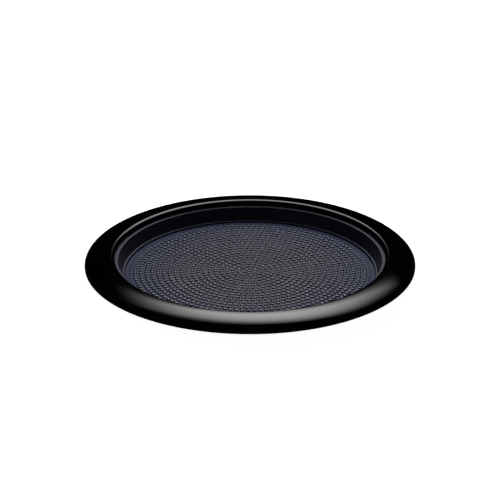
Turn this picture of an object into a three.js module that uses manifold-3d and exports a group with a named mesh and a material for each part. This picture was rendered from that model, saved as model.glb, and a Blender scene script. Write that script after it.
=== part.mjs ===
// Round non-slip serving tray, in millimetres, +Z up, standing on its feet at z = 0.
// A glossy rim shell and a lower shell are screwed together around a matt liner pan, and a
// knobbed rubber mat lies loose in the pan's recess.
import * as THREE from 'three';
import { mergeVertices } from 'three/addons/utils/BufferGeometryUtils.js';
import Module from 'manifold-3d';

// Driving dimensions
const trayRadius = 200.5;
const matTop = 9.5; // the mat's face between its knobs
const wall = 2.4; // moulded wall of the pan
const gap = 0.3; // between pieces that touch
const turns = 72; // facets round each large piece

const mat = {
  radius: 151.4,
  thickness: 2,
  bevel: 0.5,
  knobPitch: 7, // between one ring of knobs and the next
  knobRings: 20,
  knobHeight: 1.2,
  knobRadius: 2,
  knobBevel: 0.4,
};
const recess = { radius: 152.6, ledgeHeight: 1.5, ledgeWidth: 1.6, ledgeBevel: 0.4 };
const lip = {
  height: 17.8, // above the mat's face
  innerRadius: 160.1,
  outerRadius: 169.5,
  thickness: 2,
  bevel: { inwards: 0.5, outwards: 0.2, depth: 0.6 },
};
const panWall = { footBevel: 0.9, innerRise: 0.4, baseBevel: 1.2 };
const rim = {
  innerRadius: 163.5,
  crestRadius: 168.4,
  crestHeight: 24.6, // above the mat's face
  edgeHeight: 12.6, // above the mat's face
  wall: 2.6,
  skirt: 1,
};
const base = {
  height: 1.6,
  stepFrom: 154.5, // radii between which the underside steps up
  stepTo: 166,
  stepRise: 10.4,
  slope: 0.18, // of the flange outside the step
  outerRadius: 197.5,
  edgeLap: 0.4, // of the edge inside the rim
  wallIn: 1.6, // from the underside to the shell's inner face, towards the axis
  wallUp: 2.1, // and upwards
};
const support = { innerRadius: 163.2, outerRadius: 165.6 };
const screws = {
  count: 8,
  circle: 182,
  headRadius: 3.3,
  headHeight: 2.2,
  shankRadius: 1.6,
  length: 8,
  postRadius: 4.4,
  cupRadius: 6,
  seat: 20, // height that the head bears on
  joint: 22.2, // height at which cup and post meet
  headPlay: 0.5, // round the head in its counterbore
  headBevel: 0.7,
  headEdge: 0.9, // depth of the head's bevel
  point: 2, // length of the cone at the tip
  spareDepth: 1, // of the bore past the screw's tip
  sides: 12,
};
const feet = { count: 6, circle: 136, radius: 9, recessDepth: 0.8, bevel: 0.6, sides: 24 };
const overlap = 1; // by which a piece that is joined or cut away runs past the surface

const lipTop = matTop + lip.height;
const crestTop = matTop + rim.crestHeight;
const rimEdge = matTop + rim.edgeHeight;
const rimFoot = rimEdge - rim.skirt;
const panTop = matTop - mat.thickness - gap;
const panBottom = panTop - wall;
const turn = 2 * Math.PI;

const finishes = {
  rimGloss: new THREE.MeshStandardMaterial({ color: 0x060607, roughness: 0.06, metalness: 0 }),
  linerMatt: new THREE.MeshStandardMaterial({ color: 0x1c1f2a, roughness: 0.55, metalness: 0 }),
  matRubber: new THREE.MeshStandardMaterial({ color: 0x35384a, roughness: 0.7, metalness: 0 }),
  shellSatin: new THREE.MeshStandardMaterial({ color: 0x0c0c0e, roughness: 0.4, metalness: 0 }),
  footRubber: new THREE.MeshStandardMaterial({ color: 0x16171b, roughness: 0.8, metalness: 0 }),
  screwSteel: new THREE.MeshStandardMaterial({ color: 0x8f9296, roughness: 0.35, metalness: 1 }),
};

const wasm = await Module();
wasm.setup();

const point = (radius, z) => new THREE.Vector2(radius, z);

// Points of an elliptical arc in the section plane, from one angle to another, in degrees.
function arc(centreRadius, centreZ, halfWidth, halfHeight, fromDegrees, toDegrees, steps) {
  return Array.from({ length: steps + 1 }, (_, i) => {
    const angle = THREE.MathUtils.degToRad(fromDegrees + ((toDegrees - fromDegrees) * i) / steps);
    return point(centreRadius + halfWidth * Math.cos(angle), centreZ + halfHeight * Math.sin(angle));
  });
}

// A section turned round Z. A section that doesn't meet the axis is closed on itself.
function turned(section, segments = turns) {
  const meetsAxis = section[0].x === 0 && section[section.length - 1].x === 0;
  const outline = meetsAxis ? section : [...section, section[0].clone()];
  return new THREE.LatheGeometry(outline, segments).rotateX(Math.PI / 2);
}

function cylinder(radius, fromZ, toZ, segments = 16) {
  const height = toZ - fromZ;
  const shape = new THREE.CylinderGeometry(radius, radius, height, segments);
  return shape.rotateX(Math.PI / 2).translate(0, 0, (fromZ + toZ) / 2);
}

function solid(geometry) {
  const bare = geometry.clone();
  bare.deleteAttribute('normal');
  bare.deleteAttribute('uv');
  const merged = mergeVertices(bare, 1e-4);
  const mesh = new wasm.Mesh({
    numProp: 3,
    vertProperties: merged.attributes.position.array,
    triVerts: new Uint32Array(merged.index.array),
  });
  return new wasm.Manifold(mesh);
}

function geometryOf(body) {
  const mesh = body.getMesh();
  const geometry = new THREE.BufferGeometry();
  geometry.setAttribute('position', new THREE.BufferAttribute(mesh.vertProperties, 3));
  geometry.setIndex(new THREE.BufferAttribute(mesh.triVerts, 1));
  geometry.computeVertexNormals();
  return geometry;
}

// The places of a ring of equal pieces: an angle and a point for each.
function ring(count, radius, startAngle = 0) {
  return Array.from({ length: count }, (_, i) => {
    const angle = startAngle + (turn * i) / count;
    return { angle, x: radius * Math.cos(angle), y: radius * Math.sin(angle) };
  });
}

const screwPlaces = ring(screws.count, screws.circle, turn / 2 / screws.count);
const footPlaces = ring(feet.count, feet.circle);

// The glossy rim: a thin dome that rises steeply from the pan's lip to a crest and then falls in
// a long curve to its outer edge, with a hollow post for each screw underneath.
function rimShell() {
  const skirtFoot = lipTop + gap;
  const span = trayRadius - rim.crestRadius;
  const bead = rim.crestRadius - rim.innerRadius;
  const outerRise = crestTop - rimEdge;
  const innerRise = crestTop - skirtFoot;
  const nearTop = 80; // in degrees, where the long curve leaves the crest
  const section = [
    ...arc(rim.crestRadius, skirtFoot, bead, innerRise, 180, 90, 5),
    ...arc(rim.crestRadius, rimEdge, span, outerRise, nearTop, 0, 9),
    point(trayRadius, rimFoot),
    point(trayRadius - rim.wall, rimFoot),
    ...arc(rim.crestRadius, rimEdge, span - rim.wall, outerRise - rim.wall, 0, nearTop, 6),
    ...arc(rim.crestRadius, skirtFoot, bead - rim.wall, innerRise - rim.wall, 90, 180, 3),
  ];
  let body = solid(turned(section.reverse()));
  const reach = (screws.circle - rim.crestRadius) / (span - rim.wall);
  const postTop = rimEdge + (outerRise - rim.wall) * Math.sqrt(1 - reach * reach) + overlap;
  const pilotRadius = screws.shankRadius + gap;
  const pilotTop = screws.seat + screws.length + screws.spareDepth;
  for (const { x, y } of screwPlaces) {
    const post = cylinder(screws.postRadius, screws.joint + gap, postTop).translate(x, y, 0);
    const pilot = cylinder(pilotRadius, screws.joint - overlap, pilotTop, screws.sides);
    body = body.add(solid(post)).subtract(solid(pilot.translate(x, y, 0)));
  }
  return geometryOf(body);
}

// The pan: a flanged lip, a wall that leans outwards, a narrow ledge and the recess for the mat.
function linerPan() {
  const ledgeTop = matTop + recess.ledgeHeight;
  const wallFoot = recess.radius + recess.ledgeWidth;
  const footOut = wallFoot + panWall.footBevel;
  const section = [
    point(0, panTop),
    point(recess.radius, panTop),
    point(recess.radius, ledgeTop - recess.ledgeBevel),
    point(recess.radius + recess.ledgeBevel, ledgeTop),
    point(wallFoot, ledgeTop),
    point(footOut, ledgeTop + panWall.footBevel),
    point(lip.innerRadius - lip.bevel.inwards, lipTop - lip.bevel.depth),
    point(lip.innerRadius + lip.bevel.outwards, lipTop),
    point(lip.outerRadius, lipTop),
    point(lip.outerRadius, lipTop - lip.thickness),
    point(lip.innerRadius + wall, lipTop - lip.thickness),
    point(footOut + wall, ledgeTop + panWall.innerRise),
    point(wallFoot, panBottom + panWall.baseBevel),
    point(wallFoot - panWall.baseBevel, panBottom),
    point(0, panBottom),
  ];
  return turned(section.reverse());
}

// The mat: a bevelled disc, with its field of knobs as one low plateau as high as the knobs.
function nonSlipMat() {
  const bottom = matTop - mat.thickness;
  const fieldRadius = mat.knobPitch * mat.knobRings + mat.knobRadius;
  const knobTop = matTop + mat.knobHeight;
  return turned(
    [
      point(0, knobTop),
      point(fieldRadius - mat.knobBevel, knobTop),
      point(fieldRadius, matTop),
      point(mat.radius - mat.bevel, matTop),
      point(mat.radius, matTop - mat.bevel),
      point(mat.radius, bottom),
      point(0, bottom),
    ].reverse(),
  );
}

// Height of the lower shell's underside: a flat base, a smooth step and a gently sloping flange.
function underside(radius) {
  const step = base.stepRise * THREE.MathUtils.smoothstep(radius, base.stepFrom, base.stepTo);
  return base.height + step + base.slope * Math.max(0, radius - base.stepFrom);
}

// Points along the underside, moved into the wall by a share of its thickness.
function undersideCurve(fromRadius, toRadius, steps, share = 0) {
  return Array.from({ length: steps + 1 }, (_, i) => {
    const radius = fromRadius + ((toRadius - fromRadius) * i) / steps;
    return point(radius - share * base.wallIn, underside(radius) + share * base.wallUp);
  });
}

// The lower shell: a flat base that steps up to a flange under the rim, which leaves room for
// fingers, with a standing ring that carries the pan's flange, a counterbored cup for each screw
// and a shallow pocket for each foot.
function lowerShell() {
  const carrierTop = lipTop - lip.thickness - gap;
  const carrierFoot = (radius) => underside(radius + base.wallIn) + base.wallUp;
  const section = [
    point(0, base.height),
    ...undersideCurve(base.stepFrom, base.stepTo, 8),
    point(base.outerRadius, underside(base.outerRadius)),
    point(base.outerRadius, rimFoot + base.edgeLap),
    point(base.outerRadius - base.wallIn, underside(base.outerRadius) + base.wallUp),
    point(support.outerRadius, carrierFoot(support.outerRadius)),
    point(support.outerRadius, carrierTop),
    point(support.innerRadius, carrierTop),
    ...undersideCurve(support.innerRadius + base.wallIn, base.stepFrom, 7, 1),
    point(0, base.height + base.wallUp),
  ];
  let body = solid(turned(section));
  const belowMidWall = solid(
    turned([
      point(0, 0),
      point(trayRadius, 0),
      point(trayRadius, underside(trayRadius)),
      ...undersideCurve(trayRadius, base.stepFrom, 12, 0.5),
      point(0, base.height + base.wallUp / 2),
    ]),
  );
  const headBore = screws.headRadius + screws.headPlay;
  const shankBore = screws.shankRadius + gap;
  for (const { x, y } of screwPlaces) {
    const post = cylinder(screws.cupRadius, base.height, screws.joint).translate(x, y, 0);
    const cup = solid(post).subtract(belowMidWall);
    const head = cylinder(headBore, 0, screws.seat).translate(x, y, 0);
    const shank = cylinder(shankBore, 0, screws.joint + overlap, screws.sides).translate(x, y, 0);
    body = body.add(cup).subtract(solid(head)).subtract(solid(shank));
  }
  const pocketTop = base.height + feet.recessDepth;
  for (const { x, y } of footPlaces) {
    const pocket = cylinder(feet.radius + gap, 0, pocketTop, feet.sides).translate(x, y, 0);
    body = body.subtract(solid(pocket));
  }
  return geometryOf(body);
}

// A rubber foot: a flat round pad with a bevelled tread.
function footPad() {
  const top = base.height + feet.recessDepth - gap;
  return turned(
    [
      point(0, 0),
      point(feet.radius - feet.bevel, 0),
      point(feet.radius, feet.bevel),
      point(feet.radius, top),
      point(0, top),
    ],
    feet.sides,
  );
}

// A pan-head screw, pointing up, with its head in the lower shell's counterbore.
function shellScrew() {
  const under = screws.seat - gap;
  const tip = under + screws.length;
  const headTop = under - screws.headHeight;
  return turned(
    [
      point(0, headTop),
      point(screws.headRadius - screws.headBevel, headTop),
      point(screws.headRadius, headTop + screws.headEdge),
      point(screws.headRadius, under),
      point(screws.shankRadius, under),
      point(screws.shankRadius, tip - screws.point),
      point(0, tip),
    ],
    screws.sides,
  );
}

function named(name, geometry, material, place) {
  const piece = new THREE.Mesh(geometry, material);
  piece.name = name;
  if (place) {
    piece.position.set(place.x, place.y, 0);
  }
  return piece;
}

const tray = new THREE.Group();
tray.add(named('rim_shell', rimShell(), finishes.rimGloss));
tray.add(named('liner_pan', linerPan(), finishes.linerMatt));
tray.add(named('non_slip_mat', nonSlipMat(), finishes.matRubber));
tray.add(named('lower_shell', lowerShell(), finishes.shellSatin));
footPlaces.forEach((place, i) => {
  tray.add(named(`foot_pad_${i + 1}`, footPad(), finishes.footRubber, place));
});
screwPlaces.forEach((place, i) => {
  tray.add(named(`shell_screw_${i + 1}`, shellScrew(), finishes.screwSteel, place));
});

export default tray;
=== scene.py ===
import math

import bpy
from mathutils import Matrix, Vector


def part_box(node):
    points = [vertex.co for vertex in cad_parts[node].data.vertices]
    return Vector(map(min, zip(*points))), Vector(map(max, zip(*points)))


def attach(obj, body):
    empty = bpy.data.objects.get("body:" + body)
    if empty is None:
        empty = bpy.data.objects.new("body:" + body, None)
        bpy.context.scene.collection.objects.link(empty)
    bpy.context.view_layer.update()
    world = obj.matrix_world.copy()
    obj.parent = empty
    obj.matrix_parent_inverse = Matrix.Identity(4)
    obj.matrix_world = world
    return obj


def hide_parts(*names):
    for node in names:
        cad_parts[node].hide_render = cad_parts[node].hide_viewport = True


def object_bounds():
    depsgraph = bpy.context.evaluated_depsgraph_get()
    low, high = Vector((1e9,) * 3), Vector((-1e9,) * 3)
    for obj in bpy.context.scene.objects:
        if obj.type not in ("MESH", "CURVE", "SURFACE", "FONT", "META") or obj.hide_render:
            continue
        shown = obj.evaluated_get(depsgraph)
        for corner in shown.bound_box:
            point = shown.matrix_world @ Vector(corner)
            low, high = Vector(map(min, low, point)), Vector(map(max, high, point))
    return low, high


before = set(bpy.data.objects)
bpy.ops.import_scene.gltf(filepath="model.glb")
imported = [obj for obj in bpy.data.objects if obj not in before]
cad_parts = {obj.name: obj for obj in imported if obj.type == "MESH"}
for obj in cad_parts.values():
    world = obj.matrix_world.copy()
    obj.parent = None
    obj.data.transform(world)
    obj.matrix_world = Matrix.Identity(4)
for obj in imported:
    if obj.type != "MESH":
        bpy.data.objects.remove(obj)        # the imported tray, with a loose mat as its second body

cadLow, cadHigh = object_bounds()
mm = 0.001
tiny = 0.001 * mm        # points closer than this are one point
rimLow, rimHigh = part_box("rim_shell")
panLow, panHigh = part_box("liner_pan")
matLow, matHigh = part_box("non_slip_mat")
shellLow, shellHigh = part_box("lower_shell")
footNodes = sorted(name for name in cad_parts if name.startswith("foot_pad"))
screwNodes = sorted(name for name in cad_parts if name.startswith("shell_screw"))


def deselectAll():
    bpy.ops.object.select_all(action="DESELECT")


def makeActive(piece):
    deselectAll()
    piece.select_set(True)
    bpy.context.view_layer.objects.active = piece


def settle(piece):
    # puts the piece's origin on the tray's own, with its place kept in its mesh
    makeActive(piece)
    bpy.ops.object.transform_apply(location=True, rotation=True, scale=True)


def arc(centre, halfWidth, halfHeight, start, end, steps, fullness=2.0):
    # points of an elliptical arc in a section, from one angle to another in degrees;
    # a fullness above 2 squares it up
    points = []
    for step in range(steps + 1):
        angle = math.radians(start + (end - start) * step / steps)
        shares = (math.cos(angle), math.sin(angle))
        across, up = (math.copysign(abs(share) ** (2 / fullness), share) for share in shares)
        points.append((centre[0] + halfWidth * across, centre[1] + halfHeight * up))
    return points


def spinSection(name, outline, turns):
    # one point is extruded along the outline, and the outline is spun round Z
    deselectAll()
    bpy.ops.mesh.primitive_plane_add(size=mm, location=(outline[0][0], 0, outline[0][1]))
    piece = bpy.context.object
    piece.name = name
    bpy.ops.object.mode_set(mode="EDIT")
    bpy.ops.mesh.merge(type="CENTER")
    for (fromRadius, fromHeight), (toRadius, toHeight) in zip(outline, outline[1:]):
        move = (toRadius - fromRadius, 0, toHeight - fromHeight)
        bpy.ops.mesh.extrude_region_move(TRANSFORM_OT_translate={"value": move})
    bpy.ops.mesh.select_all(action="SELECT")
    bpy.ops.mesh.remove_doubles(threshold=tiny)
    bpy.ops.mesh.select_all(action="SELECT")
    bpy.ops.mesh.spin(steps=turns, angle=math.tau, center=(0, 0, 0), axis=(0, 0, 1))
    bpy.ops.mesh.select_all(action="SELECT")
    bpy.ops.mesh.remove_doubles(threshold=tiny)
    bpy.ops.mesh.normals_make_consistent(inside=False)
    bpy.ops.object.mode_set(mode="OBJECT")
    settle(piece)
    return piece


def roundEdges(piece, width, segments=3, sharperThan=35):
    makeActive(piece)
    bevel = piece.modifiers.new("rounded edges", "BEVEL")
    bevel.width = width
    bevel.segments = segments
    bevel.limit_method = "ANGLE"
    bevel.angle_limit = math.radians(sharperThan)
    bpy.ops.object.modifier_apply(modifier=bevel.name)


def joinAll(pieces):
    makeActive(pieces[0])
    for piece in pieces[1:]:
        piece.select_set(True)
    bpy.ops.object.join()
    return bpy.context.object


def carve(piece, tool, operation):
    # UNION adds the tool to the piece and DIFFERENCE cuts it away; the tool is used up
    makeActive(piece)
    cut = piece.modifiers.new("carve", "BOOLEAN")
    cut.operation = operation
    cut.solver = "MANIFOLD"
    cut.object = tool
    bpy.ops.object.modifier_apply(modifier=cut.name)
    bpy.data.objects.remove(tool)


def smoothOver(piece, angle=30):
    makeActive(piece)
    bpy.ops.object.shade_smooth_by_angle(angle=math.radians(angle))


def rod(place, radius, bottom, top, sides=32):
    deselectAll()
    middle = (place[0], place[1], (bottom + top) / 2)
    bpy.ops.mesh.primitive_cylinder_add(vertices=sides, radius=radius, depth=top - bottom, location=middle)
    piece = bpy.context.object
    settle(piece)
    return piece


def rodsAt(places, radius, bottom, top, sides=32):
    return joinAll([rod(place, radius, bottom, top, sides) for place in places])


def copyOf(piece, name, place):
    makeActive(piece)
    bpy.ops.object.duplicate(linked=False)
    bpy.ops.transform.translate(value=(place[0], place[1], 0))
    twin = bpy.context.object
    twin.name = name
    settle(twin)
    return twin


def centreOf(node):
    low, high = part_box(node)
    return ((low.x + high.x) / 2, (low.y + high.y) / 2)


footPlaces = [centreOf(name) for name in footNodes]
screwPlaces = [centreOf(name) for name in screwNodes]


class Wire:                # a node's socket, which can be used in sums
    def __init__(self, tree, socket=None):
        self.tree = tree
        self.socket = socket

    def node(self, kind, settings=None, values=None, output=0):
        made = self.tree.nodes.new(kind)
        for name, setting in (settings or {}).items():
            setattr(made, name, setting)
        for name, value in (values or {}).items():
            if isinstance(value, Wire):
                self.tree.links.new(value.socket, made.inputs[name])
            else:
                made.inputs[name].default_value = value
        return Wire(self.tree, made.outputs[output])

    def maths(self, operation, first, second):
        return self.node("ShaderNodeMath", {"operation": operation}, {0: first, 1: second})

    def __add__(self, other):
        return self.maths("ADD", self, other)

    __radd__ = __add__

    def __sub__(self, other):
        return self.maths("SUBTRACT", self, other)

    def __rsub__(self, other):
        return self.maths("SUBTRACT", other, self)

    def __mul__(self, other):
        return self.maths("MULTIPLY", self, other)

    __rmul__ = __mul__

    def __truediv__(self, other):
        return self.maths("DIVIDE", self, other)

    def __pow__(self, other):
        return self.maths("POWER", self, other)

    def __rpow__(self, other):
        return self.maths("POWER", other, self)

    def rounded(self):
        return self.maths("ROUND", self, 0.0)

    def coordinate(self, number):
        # of a place: 0 for X, 1 for Y, 2 for Z
        return self.node("ShaderNodeSeparateXYZ", None, {0: self}, output=number)

    def blend(self, first, second):
        # from the first colour to the second as this socket goes from 0 to 1
        settings = {"data_type": "RGBA", "clamp_factor": True}
        return self.node("ShaderNodeMix", settings, {0: self, 6: first, 7: second}, output=2)

    def ease(self, start, end):
        # 0 up to start, 1 from end on, and smooth between them
        settings = {"interpolation_type": "SMOOTHSTEP"}
        return self.node("ShaderNodeMapRange", settings, {"Value": self, "From Min": start, "From Max": end})


def noise(place, size, detail=2.0, roughness=0.5):
    # a cloudy value round 0.5, whose patches are about the given size across
    values = {"Vector": place, "Scale": 1 / size, "Detail": detail, "Roughness": roughness}
    return place.node("ShaderNodeTexNoise", None, values)


def newFinish(name, fixed):
    # a material with the plain numbers set on its shader; returns it, its shader and object places
    material = bpy.data.materials.new(name)
    material.use_nodes = True
    tree = material.node_tree
    shader = tree.nodes["Principled BSDF"]
    for socket, value in fixed.items():
        shader.inputs[socket].default_value = value
    place = Wire(tree).node("ShaderNodeTexCoord", output="Object")
    return material, shader, place


def feed(shader, socket, wire):
    wire.tree.links.new(wire.socket, shader.inputs[socket])


def bump(height, depth, strength=1.0):
    return height.node("ShaderNodeBump", None, {"Height": height, "Distance": depth, "Strength": strength})


def wear(piece, material, body, node):
    # gives a finished piece its material and its body, and hides the node it stands for
    piece.data.materials.clear()
    piece.data.materials.append(material)
    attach(piece, body)
    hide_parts(node)


rimLook = {
    "dark": (0.0006, 0.0006, 0.0007, 1),
    "worn": (0.0014, 0.0014, 0.0016, 1),
    "patches": 60 * mm,      # size of the more and less handled patches
    "smears": 3 * mm,
    "roughness": 0.07,
    "handling": 0.03,        # roughness that hands and cloths add in patches
    "peel": 7 * mm,          # size of the moulding's faint ripple
    "peelDepth": 0.006 * mm,
}


def glossFinish():
    material, shader, place = newFinish("rimGloss", {"IOR": 1.5})
    patches = noise(place, rimLook["patches"], 3)
    smears = noise(place, rimLook["smears"], 4, 0.7)
    feed(shader, "Base Color", patches.blend(rimLook["dark"], rimLook["worn"]))
    handled = patches * smears - 0.25        # the product of two noises round 0.5 lies round 0.25
    feed(shader, "Roughness", rimLook["roughness"] + rimLook["handling"] * handled)
    ripple = noise(place, rimLook["peel"], 1)
    feed(shader, "Normal", bump(ripple, rimLook["peelDepth"]))
    return material


panLook = {
    "deep": (0.012, 0.013, 0.026, 1),
    "pale": (0.016, 0.017, 0.034, 1),
    "sheen": (0.76, 0.80, 1.0, 1),
    "patches": 45 * mm,
    "roughness": 0.39,
    "patchiness": 0.06,      # how far the roughness swings from patch to patch
    "graininess": 0.08,      # and from grain to grain
    "grain": 0.45 * mm,
    "grainDepth": 0.012 * mm,
}


def panFinish():
    fixed = {"IOR": 1.5, "Specular IOR Level": 0.55, "Specular Tint": panLook["sheen"]}
    material, shader, place = newFinish("panMatt", fixed)
    patches = noise(place, panLook["patches"], 3)
    grain = noise(place, panLook["grain"], 2, 0.6)
    feed(shader, "Base Color", patches.blend(panLook["deep"], panLook["pale"]))
    swing = panLook["graininess"] * (grain - 0.5) + panLook["patchiness"] * (patches - 0.5)
    feed(shader, "Roughness", panLook["roughness"] + swing)
    feed(shader, "Normal", bump(grain, panLook["grainDepth"]))
    return material


rubberLook = {
    "warm": (0.125, 0.117, 0.185, 1),    # towards the middle; against the bluer edge this warmer tone is a painted reflection tint
    "cool": (0.058, 0.074, 0.170, 1),    # towards the edge
    "chalk": (0.165, 0.152, 0.205, 1),   # faint bloom and dust on used rubber, and the painted highlight on the knobs' tops
    # the colour of the painted shade on the knobs' sides and round their feet
    "paintedShade": (0.012, 0.012, 0.018, 1),
    "warmTo": 70 * mm,
    "coolFrom": 150 * mm,
    "clouds": 60 * mm,                   # size of the patches, and how far they shift the two tones
    "chalky": (0.3, 0.8),                # values of the grain between which the chalk shows
    "bloomAndTopLight": 0.2,                        # share of chalk low down
    "paintedTopLight": 0.3,                     # more of it on the knobs' tops, as a painted highlight
    "topFrom": 0.6,                      # shares of a knob's height between which its top starts
    "topTo": 0.9,
    "roughness": 0.52,
    "graininess": 0.12,
    # rougher where the painted shade lies
    "paintedShadeRoughness": 0.3,
    "polish": 0.2,                       # off the roughness on the knobs' tops
    "gloss": 1.0,                        # the skin that use gives the knobs' tops
    "shade": 0.9,                        # strength of the painted shade on the knobs' sides and in a ring round their feet
    "footReach": 1.0 * mm,
    "fieldEdge": 0.4,                    # of a pitch past the last ring, where the painted shade starts to end
    "grain": 0.6 * mm,
    "grainDepth": 0.02 * mm,
}


def fromKnob(place, radius):
    # the distance from the middle of the nearest knob, worked out from the rings that knobs stand in
    pitch = matSize["knobPitch"]
    angle = place.maths("ARCTAN2", place.coordinate(1), place.coordinate(0))
    ring = (radius / pitch).rounded()
    knobs = (ring * math.tau).rounded()
    turn = (angle - math.radians(matSize["knobStart"])) / math.tau * knobs
    sideways = (turn - turn.rounded()) * ring * pitch * math.tau / knobs
    outwards = radius - ring * pitch
    return (sideways * sideways + outwards * outwards) ** 0.5


def rubberFinish():
    look = rubberLook
    knobHeight = matSize["knobHeight"]
    faceHeight = matHigh.z - knobHeight
    fixed = {"IOR": 1.5, "Specular IOR Level": 0.25, "Coat Roughness": 0.22}
    material, shader, place = newFinish("matRubber", fixed)
    height = place.coordinate(2)
    level = place.node("ShaderNodeVectorMath", {"operation": "MULTIPLY"}, {0: place, 1: (1, 1, 0)})
    radius = level.node("ShaderNodeVectorMath", {"operation": "LENGTH"}, {0: level}, output=1)
    raised = height.ease(faceHeight + look["topFrom"] * knobHeight, faceHeight + look["topTo"] * knobHeight)
    clouds = noise(place, look["clouds"], 3)
    grain = noise(place, look["grain"], 3, 0.6)
    # painted reflection tint: warmer towards the middle, bluer towards the edge
    coolness = (radius + look["clouds"] * (clouds - 0.5)).ease(look["warmTo"], look["coolFrom"])
    colour = coolness.blend(look["warm"], look["cool"])
    # chalk bloom from the grain, with extra lightening on the knobs' tops that is a painted highlight
    bloomAndTopLight = grain.ease(*look["chalky"]) * (look["bloomAndTopLight"] + look["paintedTopLight"] * raised)
    colour = bloomAndTopLight.blend(colour, look["chalk"])
    knobEdge = matSize["knobRadius"]
    # painted shade: the base colour darkens over each knob's sides and in a ring round its foot, standing in
    # for the knobs' shade and contact shadows
    foot = 1 - fromKnob(place, radius).ease(knobEdge, knobEdge + look["footReach"])
    fieldEnd = matSize["knobPitch"] * (matSize["knobRings"] + look["fieldEdge"])
    inField = 1 - radius.ease(fieldEnd, matHigh.x)
    paintedShade = look["shade"] * foot * inField * (1 - raised)
    feed(shader, "Base Color", paintedShade.blend(colour, look["paintedShade"]))
    dullness = look["roughness"] + look["graininess"] * (grain - 0.5) + look["paintedShadeRoughness"] * paintedShade
    feed(shader, "Roughness", dullness - look["polish"] * raised)
    feed(shader, "Coat Weight", look["gloss"] * raised)
    feed(shader, "Normal", bump(grain, look["grainDepth"]))
    return material


shellLook = {
    "dark": (0.016, 0.016, 0.017, 1),
    "scuffed": (0.030, 0.030, 0.032, 1),
    "patches": 50 * mm,
    "scuffing": (0.4, 0.8),  # values of the patches between which the scuffs show
    "roughness": 0.36,
    "patchiness": 0.12,
    "graininess": 0.08,
    "grain": 0.9 * mm,
    "grainDepth": 0.03 * mm,
}


def shellFinish():
    material, shader, place = newFinish("shellSatin", {"IOR": 1.5})
    patches = noise(place, shellLook["patches"], 4)
    grain = noise(place, shellLook["grain"], 2)
    scuffs = patches.ease(*shellLook["scuffing"])
    feed(shader, "Base Color", scuffs.blend(shellLook["dark"], shellLook["scuffed"]))
    swing = shellLook["patchiness"] * (patches - 0.5) + shellLook["graininess"] * (grain - 0.5)
    feed(shader, "Roughness", shellLook["roughness"] + swing)
    feed(shader, "Normal", bump(grain, shellLook["grainDepth"]))
    return material


footLook = {
    "dark": (0.030, 0.030, 0.033, 1),
    "dusty": (0.075, 0.072, 0.070, 1),
    "dust": 4 * mm,          # size of its patches
    "dusting": (0.4, 0.8),   # values of the dust's noise between which it shows
    "roughness": 0.74,
    "graininess": 0.15,
    "grain": 0.5 * mm,
    "grainDepth": 0.03 * mm,
}


def footFinish():
    material, shader, place = newFinish("footRubber", {"IOR": 1.5})
    dust = noise(place, footLook["dust"], 4)
    grain = noise(place, footLook["grain"], 3, 0.6)
    feed(shader, "Base Color", dust.ease(*footLook["dusting"]).blend(footLook["dark"], footLook["dusty"]))
    feed(shader, "Roughness", footLook["roughness"] + footLook["graininess"] * (grain - 0.5))
    feed(shader, "Normal", bump(grain, footLook["grainDepth"]))
    return material


steelLook = {
    "bright": (0.62, 0.63, 0.65, 1),
    "dull": (0.42, 0.42, 0.41, 1),
    "blotches": 1.8 * mm,
    "roughness": 0.28,
    "blotchiness": 0.2,
    "blotchMiddle": 0.4,     # the noise's value at the plain roughness
    "brushing": 0.25 * mm,
    "brushDepth": 0.004 * mm,
}


def steelFinish():
    material, shader, place = newFinish("screwSteel", {"Metallic": 1.0})
    blotches = noise(place, steelLook["blotches"], 4)
    brushing = noise(place, steelLook["brushing"], 2)
    feed(shader, "Base Color", blotches.blend(steelLook["bright"], steelLook["dull"]))
    dullness = steelLook["blotchiness"] * (blotches - steelLook["blotchMiddle"])
    feed(shader, "Roughness", steelLook["roughness"] + dullness)
    feed(shader, "Normal", bump(brushing, steelLook["brushDepth"]))
    return material


rimSize = {
    "crestIn": 31.2 * mm,    # from the outer edge in to the crest
    "domeRise": 12 * mm,     # from the outer edge up to the crest
    "beadWidth": 5.8 * mm,   # from the crest in to the bead's foot on the pan's lip
    "beadFullness": 2.4,
    "lift": 0.3 * mm,        # of the bead's foot over the lip
    "skirt": 1 * mm,
    "wall": 2.6 * mm,
    "edgeRound": 0.4 * mm,
    "postRadius": 4.4 * mm,
    "postFoot": 22.5 * mm,
    "boreRadius": 1.9 * mm,
    "boreTop": 29 * mm,
    "beadSteps": 20,
    "domeSteps": 34,
    "insideSteps": 20,       # on the dome's inner face
    "beadInsideSteps": 7,
    "turns": 288,
}


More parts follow.
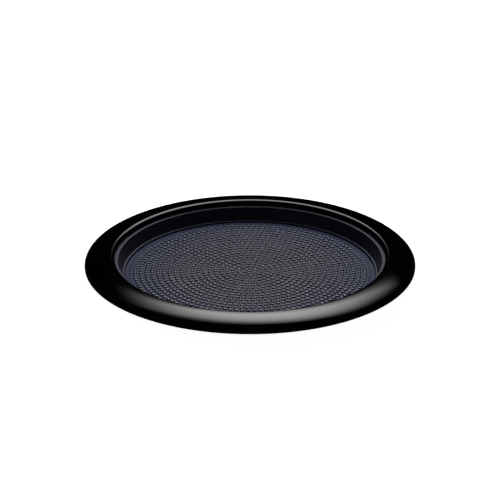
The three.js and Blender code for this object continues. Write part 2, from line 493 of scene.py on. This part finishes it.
def makeRimShell():
    size = rimSize
    outer, crestTop = rimHigh.x, rimHigh.z
    crest = outer - size["crestIn"]
    edge = crestTop - size["domeRise"]
    beadFoot = panHigh.z + size["lift"]
    wall = size["wall"]
    beadRise = crestTop - beadFoot
    fullness = size["beadFullness"]
    outline = arc((crest, beadFoot), size["beadWidth"], beadRise, 180, 90, size["beadSteps"], fullness)
    outline += arc((crest, edge), size["crestIn"], size["domeRise"], 90, 0, size["domeSteps"])[1:]
    outline += [(outer, edge - size["skirt"]), (outer - wall, edge - size["skirt"])]
    insideSteps, beadInsideSteps = size["insideSteps"], size["beadInsideSteps"]
    outline += arc((crest, edge), size["crestIn"] - wall, size["domeRise"] - wall, 0, 90, insideSteps)
    outline += arc((crest, beadFoot), size["beadWidth"] - wall, beadRise - wall, 90, 180, beadInsideSteps)[1:]
    outline.append(outline[0])
    rim = spinSection("rimShell", outline, size["turns"])
    roundEdges(rim, size["edgeRound"])
    reach = (Vector(screwPlaces[0]).length - crest) / (size["crestIn"] - wall)
    ceiling = edge + (size["domeRise"] - wall) * math.sqrt(1 - reach * reach)
    postTop = ceiling + wall / 2
    carve(rim, rodsAt(screwPlaces, size["postRadius"], size["postFoot"], postTop), "UNION")
    carve(rim, rodsAt(screwPlaces, size["boreRadius"], size["postFoot"] - mm, size["boreTop"]), "DIFFERENCE")
    smoothOver(rim)
    return rim


panSize = {
    "recessRadius": 152.6 * mm,
    "wallFoot": 154.8 * mm,
    "wallTop": 159.8 * mm,
    "ledgeHeight": 3.8 * mm,     # above the recess's floor
    "wall": 2.4 * mm,
    "lipThickness": 2 * mm,
    "underRound": 1.2 * mm,
    "edgeRound": 0.5 * mm,
    "turns": 240,
}


def makeLinerPan():
    size = panSize
    lipTop, lipOuter = panHigh.z, panHigh.x
    floorTop = panLow.z + size["wall"]
    ledge = floorTop + size["ledgeHeight"]
    outline = [
        (0, floorTop),
        (size["recessRadius"], floorTop),
        (size["recessRadius"], ledge),
        (size["wallFoot"], ledge),
        (size["wallTop"], lipTop),
        (lipOuter, lipTop),
        (lipOuter, lipTop - size["lipThickness"]),
        (size["wallTop"] + size["wall"], lipTop - size["lipThickness"]),
        (size["wallFoot"] + size["wall"], ledge),
        (size["wallFoot"] - size["edgeRound"], panLow.z + size["underRound"]),
        (size["wallFoot"] - size["edgeRound"] - size["underRound"], panLow.z),
        (0, panLow.z),
    ]
    pan = spinSection("linerPan", outline, size["turns"])
    roundEdges(pan, size["edgeRound"])
    smoothOver(pan)
    return pan


matSize = {
    "edgeRound": 0.5 * mm,
    "knobPitch": 7 * mm,         # between rings, and between the knobs of a ring
    "knobRings": 20,
    "knobStart": 19.4,           # degrees round from +X to the first knob of every ring
    "knobRadius": 2.3 * mm,
    "knobHeight": 1.5 * mm,
    "knobShape": [(0.4, 0.985), (0.7, 0.93), (0.9, 0.82), (0.99, 0.66)],    # shares of radius and height
    "knobRoot": 0.4 * mm,        # of the knob inside the mat before they are joined
    "knobSides": 12,
    "smoothBelow": 50,           # degrees, under which two faces are shaded as one
    "turns": 144,
}


def makeKnob(face):
    # a domed top on steep sides, with a root that sinks into the mat
    size = matSize
    radius, rise = size["knobRadius"], size["knobHeight"]
    outline = [(0, face + rise)] + [(radius * across, face + rise * up) for across, up in size["knobShape"]]
    outline += [(radius, face - size["knobRoot"]), (0, face - size["knobRoot"])]
    return spinSection("knob", outline, size["knobSides"])


def makeKnobField(face):
    size = matSize
    knob = makeKnob(face)
    start = math.radians(size["knobStart"])
    turner = bpy.data.objects.new("ringTurn", None)
    bpy.context.scene.collection.objects.link(turner)
    rings = []
    for number in range(1, size["knobRings"] + 1):
        reach = number * size["knobPitch"]
        ring = copyOf(knob, "knobRing", (reach * math.cos(start), reach * math.sin(start)))
        count = round(math.tau * number)
        turner.rotation_euler = (0, 0, math.tau / count)
        bpy.context.view_layer.update()
        array = ring.modifiers.new("round the centre", "ARRAY")
        array.count = count
        array.use_relative_offset = False
        array.use_object_offset = True
        array.offset_object = turner
        bpy.ops.object.modifier_apply(modifier=array.name)
        rings.append(ring)
    bpy.data.objects.remove(turner)
    return joinAll([knob] + rings)


def makeMat():
    size = matSize
    radius, bottom = matHigh.x, matLow.z
    face = matHigh.z - size["knobHeight"]
    between = [(size["knobPitch"] * (number + 0.5), face) for number in range(size["knobRings"] + 1)]
    outline = [(0, face)] + between + [(radius, face), (radius, bottom), (0, bottom)]
    mat = spinSection("antiSlipMat", outline, size["turns"])
    roundEdges(mat, size["edgeRound"])
    carve(mat, makeKnobField(face), "UNION")
    smoothOver(mat, size["smoothBelow"])
    return mat


shellSize = {
    "stepFrom": 154.5 * mm,      # radii between which the underside steps up
    "stepTo": 166 * mm,
    "stepRise": 10.4 * mm,
    "slope": 0.18,               # of the flange outside the step
    "edgeLap": 0.4 * mm,         # of the edge inside the rim
    "wallIn": 1.6 * mm,          # from the underside to the inner face, towards the axis
    "wallUp": 2.1 * mm,          # and upwards
    "carrierOuter": 165.6 * mm,  # the standing ring under the pan's flange
    "carrierInner": 163.2 * mm,
    "edgeRound": 0.35 * mm,
    "cupRadius": 6 * mm,
    "cupTop": 22.2 * mm,
    "seat": 20 * mm,
    "headBore": 3.8 * mm,
    "shankBore": 1.9 * mm,
    "pocketRadius": 9.3 * mm,
    "pocketDepth": 0.8 * mm,
    "gateRadius": 5 * mm,        # the shallow dimple round the moulding's gate
    "gateDepth": 0.5 * mm,
    "cupSides": 48,
    "boreSides": 40,
    "pocketSides": 64,
    "curveSteps": 24,
    "insideSteps": 20,
    "cutSteps": 40,
    "turns": 240,
}


def underside(radius):
    # a flat base, a smooth step up and a gently sloping flange
    size = shellSize
    share = min(1, max(0, (radius - size["stepFrom"]) / (size["stepTo"] - size["stepFrom"])))
    step = size["stepRise"] * share * share * (3 - 2 * share)
    return shellLow.z + step + size["slope"] * max(0, radius - size["stepFrom"])


def undersideCurve(start, end, steps, share=0):
    # points along the underside, moved into the wall by a share of its thickness
    points = []
    for step in range(steps + 1):
        radius = start + (end - start) * step / steps
        points.append((radius - share * shellSize["wallIn"], underside(radius) + share * shellSize["wallUp"]))
    return points


def makeLowerShell():
    size = shellSize
    bottom, outer = shellLow.z, shellHigh.x
    carrierInner, carrierOuter = size["carrierInner"], size["carrierOuter"]
    outline = [(0, bottom + size["gateDepth"]), (size["gateRadius"], bottom + size["gateDepth"])]
    outline += [(size["gateRadius"] + size["gateDepth"], bottom)]
    outline += undersideCurve(size["stepFrom"], size["stepTo"], size["curveSteps"])
    outline += [(outer, underside(outer)), (outer, rimLow.z + size["edgeLap"])]
    outline += [(outer - size["wallIn"], underside(outer) + size["wallUp"])]
    outline += [(carrierOuter, underside(carrierOuter + size["wallIn"]) + size["wallUp"])]
    outline += [(carrierOuter, shellHigh.z), (carrierInner, shellHigh.z)]
    outline += undersideCurve(carrierInner + size["wallIn"], size["stepFrom"], size["insideSteps"], 1)
    outline += [(0, bottom + size["wallUp"])]
    shell = spinSection("lowerShell", outline, size["turns"])
    roundEdges(shell, size["edgeRound"])

    # the cups are full rods, cut off halfway through the wall before they join it
    below = [(0, -mm), (rimHigh.x, -mm), (rimHigh.x, underside(rimHigh.x))]
    below += undersideCurve(rimHigh.x, size["stepFrom"], size["cutSteps"], 0.5)
    below += [(0, bottom + size["wallUp"] / 2)]
    cups = rodsAt(screwPlaces, size["cupRadius"], bottom, size["cupTop"], size["cupSides"])
    carve(cups, spinSection("belowWall", below, size["turns"]), "DIFFERENCE")
    carve(shell, cups, "UNION")
    headBores = rodsAt(screwPlaces, size["headBore"], -mm, size["seat"], size["boreSides"])
    carve(shell, headBores, "DIFFERENCE")
    carve(shell, rodsAt(screwPlaces, size["shankBore"], 0, size["cupTop"] + mm), "DIFFERENCE")
    pocketTop = bottom + size["pocketDepth"]
    pockets = rodsAt(footPlaces, size["pocketRadius"], bottom - mm, pocketTop, size["pocketSides"])
    carve(shell, pockets, "DIFFERENCE")
    smoothOver(shell)
    return shell


footSize = {
    "radius": 9 * mm,
    "edgeRound": 0.1 * mm,
    "treads": [(0, 2.4 * mm), (3.2 * mm, 5.2 * mm), (6.0 * mm, 8.6 * mm)],    # each ridge's two radii
    "grooveDepth": 0.4 * mm,
    "shoulder": 0.5 * mm,
    "turns": 64,
}


def makeFoot():
    size = footSize
    low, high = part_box(footNodes[0])
    outline = []
    for inner, outer in size["treads"]:
        groove = low.z + size["grooveDepth"]
        outline += [(inner, groove), (inner, low.z), (outer, low.z), (outer, groove)]
    outline = outline[1:-1]  # the first ridge has no groove inside it, nor the last one outside
    outline += [(size["radius"], low.z + size["shoulder"]), (size["radius"], high.z), (0, high.z)]
    foot = spinSection("footPad", outline, size["turns"])
    roundEdges(foot, size["edgeRound"], segments=2)
    smoothOver(foot)
    return foot


screwSize = {
    "headRadius": 3.3 * mm,
    "headHeight": 2.2 * mm,
    "headFlat": 1.6 * mm,        # radius of the flat in the middle of the head
    "headSide": 1.0 * mm,
    "coreRadius": 1.2 * mm,
    "threadRadius": 1.75 * mm,
    "threadPitch": 1.1 * mm,
    "threadRise": (0.42, 0.55),  # shares of the pitch, to either side of the thread's crest
    "tip": 2.4 * mm,
    "tipNeck": 0.8,              # share of the core's radius where the tip starts
    "slotLength": 3.6 * mm,
    "slotWidth": 0.75 * mm,
    "slotDepth": 1.3 * mm,
    "headSteps": 8,
    "smoothBelow": 40,           # degrees
    "turns": 48,
}


def makeScrew():
    size = screwSize
    low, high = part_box(screwNodes[0])
    under = low.z + size["headHeight"]
    core, thread, pitch = size["coreRadius"], size["threadRadius"], size["threadPitch"]
    domeWidth = size["headRadius"] - size["headFlat"]
    domeRise = size["headHeight"] - size["headSide"]
    outline = [(0, low.z)]
    domeMiddle = (size["headFlat"], under - size["headSide"])
    outline += arc(domeMiddle, domeWidth, domeRise, -90, 0, size["headSteps"])
    outline += [(size["headRadius"], under), (core, under)]
    height = under + pitch / 2
    while height + pitch < high.z - size["tip"]:
        outline += [(core, height)] + [(thread, height + share * pitch) for share in size["threadRise"]]
        height += pitch
    outline += [(core, height), (core * size["tipNeck"], high.z - size["tip"]), (0, high.z)]
    screw = spinSection("shellScrew", outline, size["turns"])
    slots = []
    for turned in (0, 90):
        deselectAll()
        bpy.ops.mesh.primitive_cube_add(size=1, location=(0, 0, low.z), rotation=(0, 0, math.radians(turned)))
        slot = bpy.context.object
        slot.scale = (size["slotLength"], size["slotWidth"], 2 * size["slotDepth"])
        settle(slot)
        slots.append(slot)
    for slot in slots:
        carve(screw, slot, "DIFFERENCE")
    smoothOver(screw, size["smoothBelow"])
    return screw


floorLook = {
    "size": 14,
    "pale": (0.93, 0.93, 0.93, 1),
    "glow": 1.04,            # light of its own, so that it reads as a bright studio sweep
}


def makeFloor():
    deselectAll()
    bpy.ops.mesh.primitive_plane_add(size=floorLook["size"], location=(0, 0, cadLow.z))
    floor = bpy.context.object
    floor.name = "studioFloor"
    material, shader, place = newFinish("floorPaper", {"Roughness": 0.9, "Specular IOR Level": 0.0})
    tree = material.node_tree
    shader.inputs["Base Color"].default_value = floorLook["pale"]
    shader.inputs["Emission Color"].default_value = floorLook["pale"]
    shader.inputs["Emission Strength"].default_value = floorLook["glow"]
    seenFromBelow = place.node("ShaderNodeNewGeometry", output="Backfacing")
    clear = place.node("ShaderNodeBsdfTransparent")
    paper = Wire(tree, shader.outputs[0])
    mixed = place.node("ShaderNodeMixShader", None, {0: seenFromBelow, 1: paper, 2: clear})
    tree.links.new(mixed.socket, tree.nodes["Material Output"].inputs["Surface"])
    floor.data.materials.append(material)
    floor.visible_glossy = False


panelLook = {
    "distance": 1.36,
    "elevation": 46,         # degrees above the horizon, straight behind the tray
    "size": 2.4,
    "radiance": 4.5,
    "lean": 0.35,            # how far the pool of light leans to the right as it rises
    "leanFrom": -0.2,
    "left": (0.33, 0.55, 0.51, 2.5),     # half-width at mid-height, its growth with height,
    "right": (0.52, 1.0, 0.365, 1.8),    # its widest, and how sharply the edge falls
    "narrowest": 0.06,
    "bottom": (-0.62, -0.02),            # heights between which it comes up
    "top": (0.15, 1.05),                 # and between which it dies away
}


def hangPanel(name, size, place, turn):
    # a plane that lights the tray from out of the camera's sight; returns it and its material's wire
    deselectAll()
    bpy.ops.mesh.primitive_plane_add(size=size, location=place, rotation=turn)
    panel = bpy.context.object
    panel.name = name
    material = bpy.data.materials.new(name)
    material.use_nodes = True
    material.node_tree.nodes.clear()
    panel.data.materials.append(material)
    panel.visible_camera = False
    panel.visible_shadow = False
    return panel, Wire(material.node_tree)


def shine(wire, strength):
    light = wire.node("ShaderNodeEmission", None, {"Strength": strength})
    output = wire.tree.nodes.new("ShaderNodeOutputMaterial")
    wire.tree.links.new(light.socket, output.inputs["Surface"])


def makeLightPanel():
    # a diffuser behind the tray, lit from low down so that its pool of light fans out upwards
    look = panelLook
    rise = math.radians(look["elevation"])
    place = Vector((0, math.cos(rise), math.sin(rise))) * look["distance"]
    panel, wire = hangPanel("softPanel", look["size"], place, (rise + math.pi / 2, 0, 0))
    where = wire.node("ShaderNodeTexCoord", output="Object")
    across = where.coordinate(0)
    height = where.coordinate(1)
    middle = look["lean"] * (height.maths("MAXIMUM", height, look["leanFrom"]) - look["leanFrom"])
    falls = []
    for outwards, side in ((middle - across, look["left"]), (across - middle, look["right"])):
        wide, growth, widest, sharpness = side
        width = wide + growth * height
        width = width.maths("MINIMUM", width.maths("MAXIMUM", width, look["narrowest"]), widest)
        falls.append((width.maths("MAXIMUM", outwards, 0.0) / width) ** sharpness)
    sides = 0.5 ** (falls[0] + falls[1])
    glow = height.ease(*look["bottom"]) * (1 - height.ease(*look["top"])) * sides * look["radiance"]
    shine(wire, glow)


fillLook = {
    "place": (-0.45, -0.30, 0.55),
    "size": 0.5,
    "radiance": 0.6,
}


def makeFillPanel():
    # a small weak light at the left in front, which the glossy rim doesn't mirror
    look = fillLook
    place = Vector(look["place"])
    turn = place.to_track_quat("Z", "Y").to_euler()
    panel, wire = hangPanel("fillPanel", look["size"], place, turn)
    shine(wire, look["radiance"])
    panel.visible_glossy = False


worldLook = {
    "backdrop": 0.96,        # what the camera sees past the floor
    "fill": 0.005,           # what lights the tray from all round
}


def makeWorld():
    world = bpy.data.worlds.new("studio")
    world.use_nodes = True
    bpy.context.scene.world = world
    tree = world.node_tree
    seen = Wire(tree).node("ShaderNodeLightPath", output="Is Camera Ray")
    strength = seen * (worldLook["backdrop"] - worldLook["fill"]) + worldLook["fill"]
    tree.links.new(strength.socket, tree.nodes["Background"].inputs["Strength"])
    tree.nodes["Background"].inputs["Color"].default_value = (1, 1, 1, 1)


cameraSetup = {
    "lens": 161,
    "distance": 2.72,
    "elevation": 23.75,
    "aimBack": 10.2 * mm,    # the aim, measured from the top of the mat's middle knob
    "aimUp": 22.2 * mm,
}


def makeCamera():
    setup = cameraSetup
    aim = Vector((0, setup["aimBack"], matHigh.z + setup["aimUp"]))
    rise = math.radians(setup["elevation"])
    back = Vector((0, -math.cos(rise), math.sin(rise)))
    data = bpy.data.cameras.new("studioCamera")
    data.lens = setup["lens"]
    camera = bpy.data.objects.new("studioCamera", data)
    bpy.context.scene.collection.objects.link(camera)
    camera.location = aim + back * setup["distance"]
    camera.rotation_euler = (-back).to_track_quat("-Z", "Y").to_euler()
    bpy.context.scene.camera = camera


print("camera, light and floor")
makeCamera()
makeWorld()
makeLightPanel()
makeFillPanel()
makeFloor()
bpy.context.scene.view_settings.view_transform = "Standard"

print("rim shell")
wear(makeRimShell(), glossFinish(), "tray", "rim_shell")
print("liner pan")
wear(makeLinerPan(), panFinish(), "tray", "liner_pan")
print("anti-slip mat")
wear(makeMat(), rubberFinish(), "mat", "non_slip_mat")
print("lower shell")
wear(makeLowerShell(), shellFinish(), "tray", "lower_shell")

print("feet")
firstFoot = makeFoot()
footRubber = footFinish()
for number, (node, place) in enumerate(zip(footNodes, footPlaces), 1):
    wear(copyOf(firstFoot, f"footPad{number}", place), footRubber, "tray", node)
bpy.data.objects.remove(firstFoot)

print("screws")
firstScrew = makeScrew()
screwSteel = steelFinish()
for number, (node, place) in enumerate(zip(screwNodes, screwPlaces), 1):
    wear(copyOf(firstScrew, f"shellScrew{number}", place), screwSteel, "tray", node)
bpy.data.objects.remove(firstScrew)
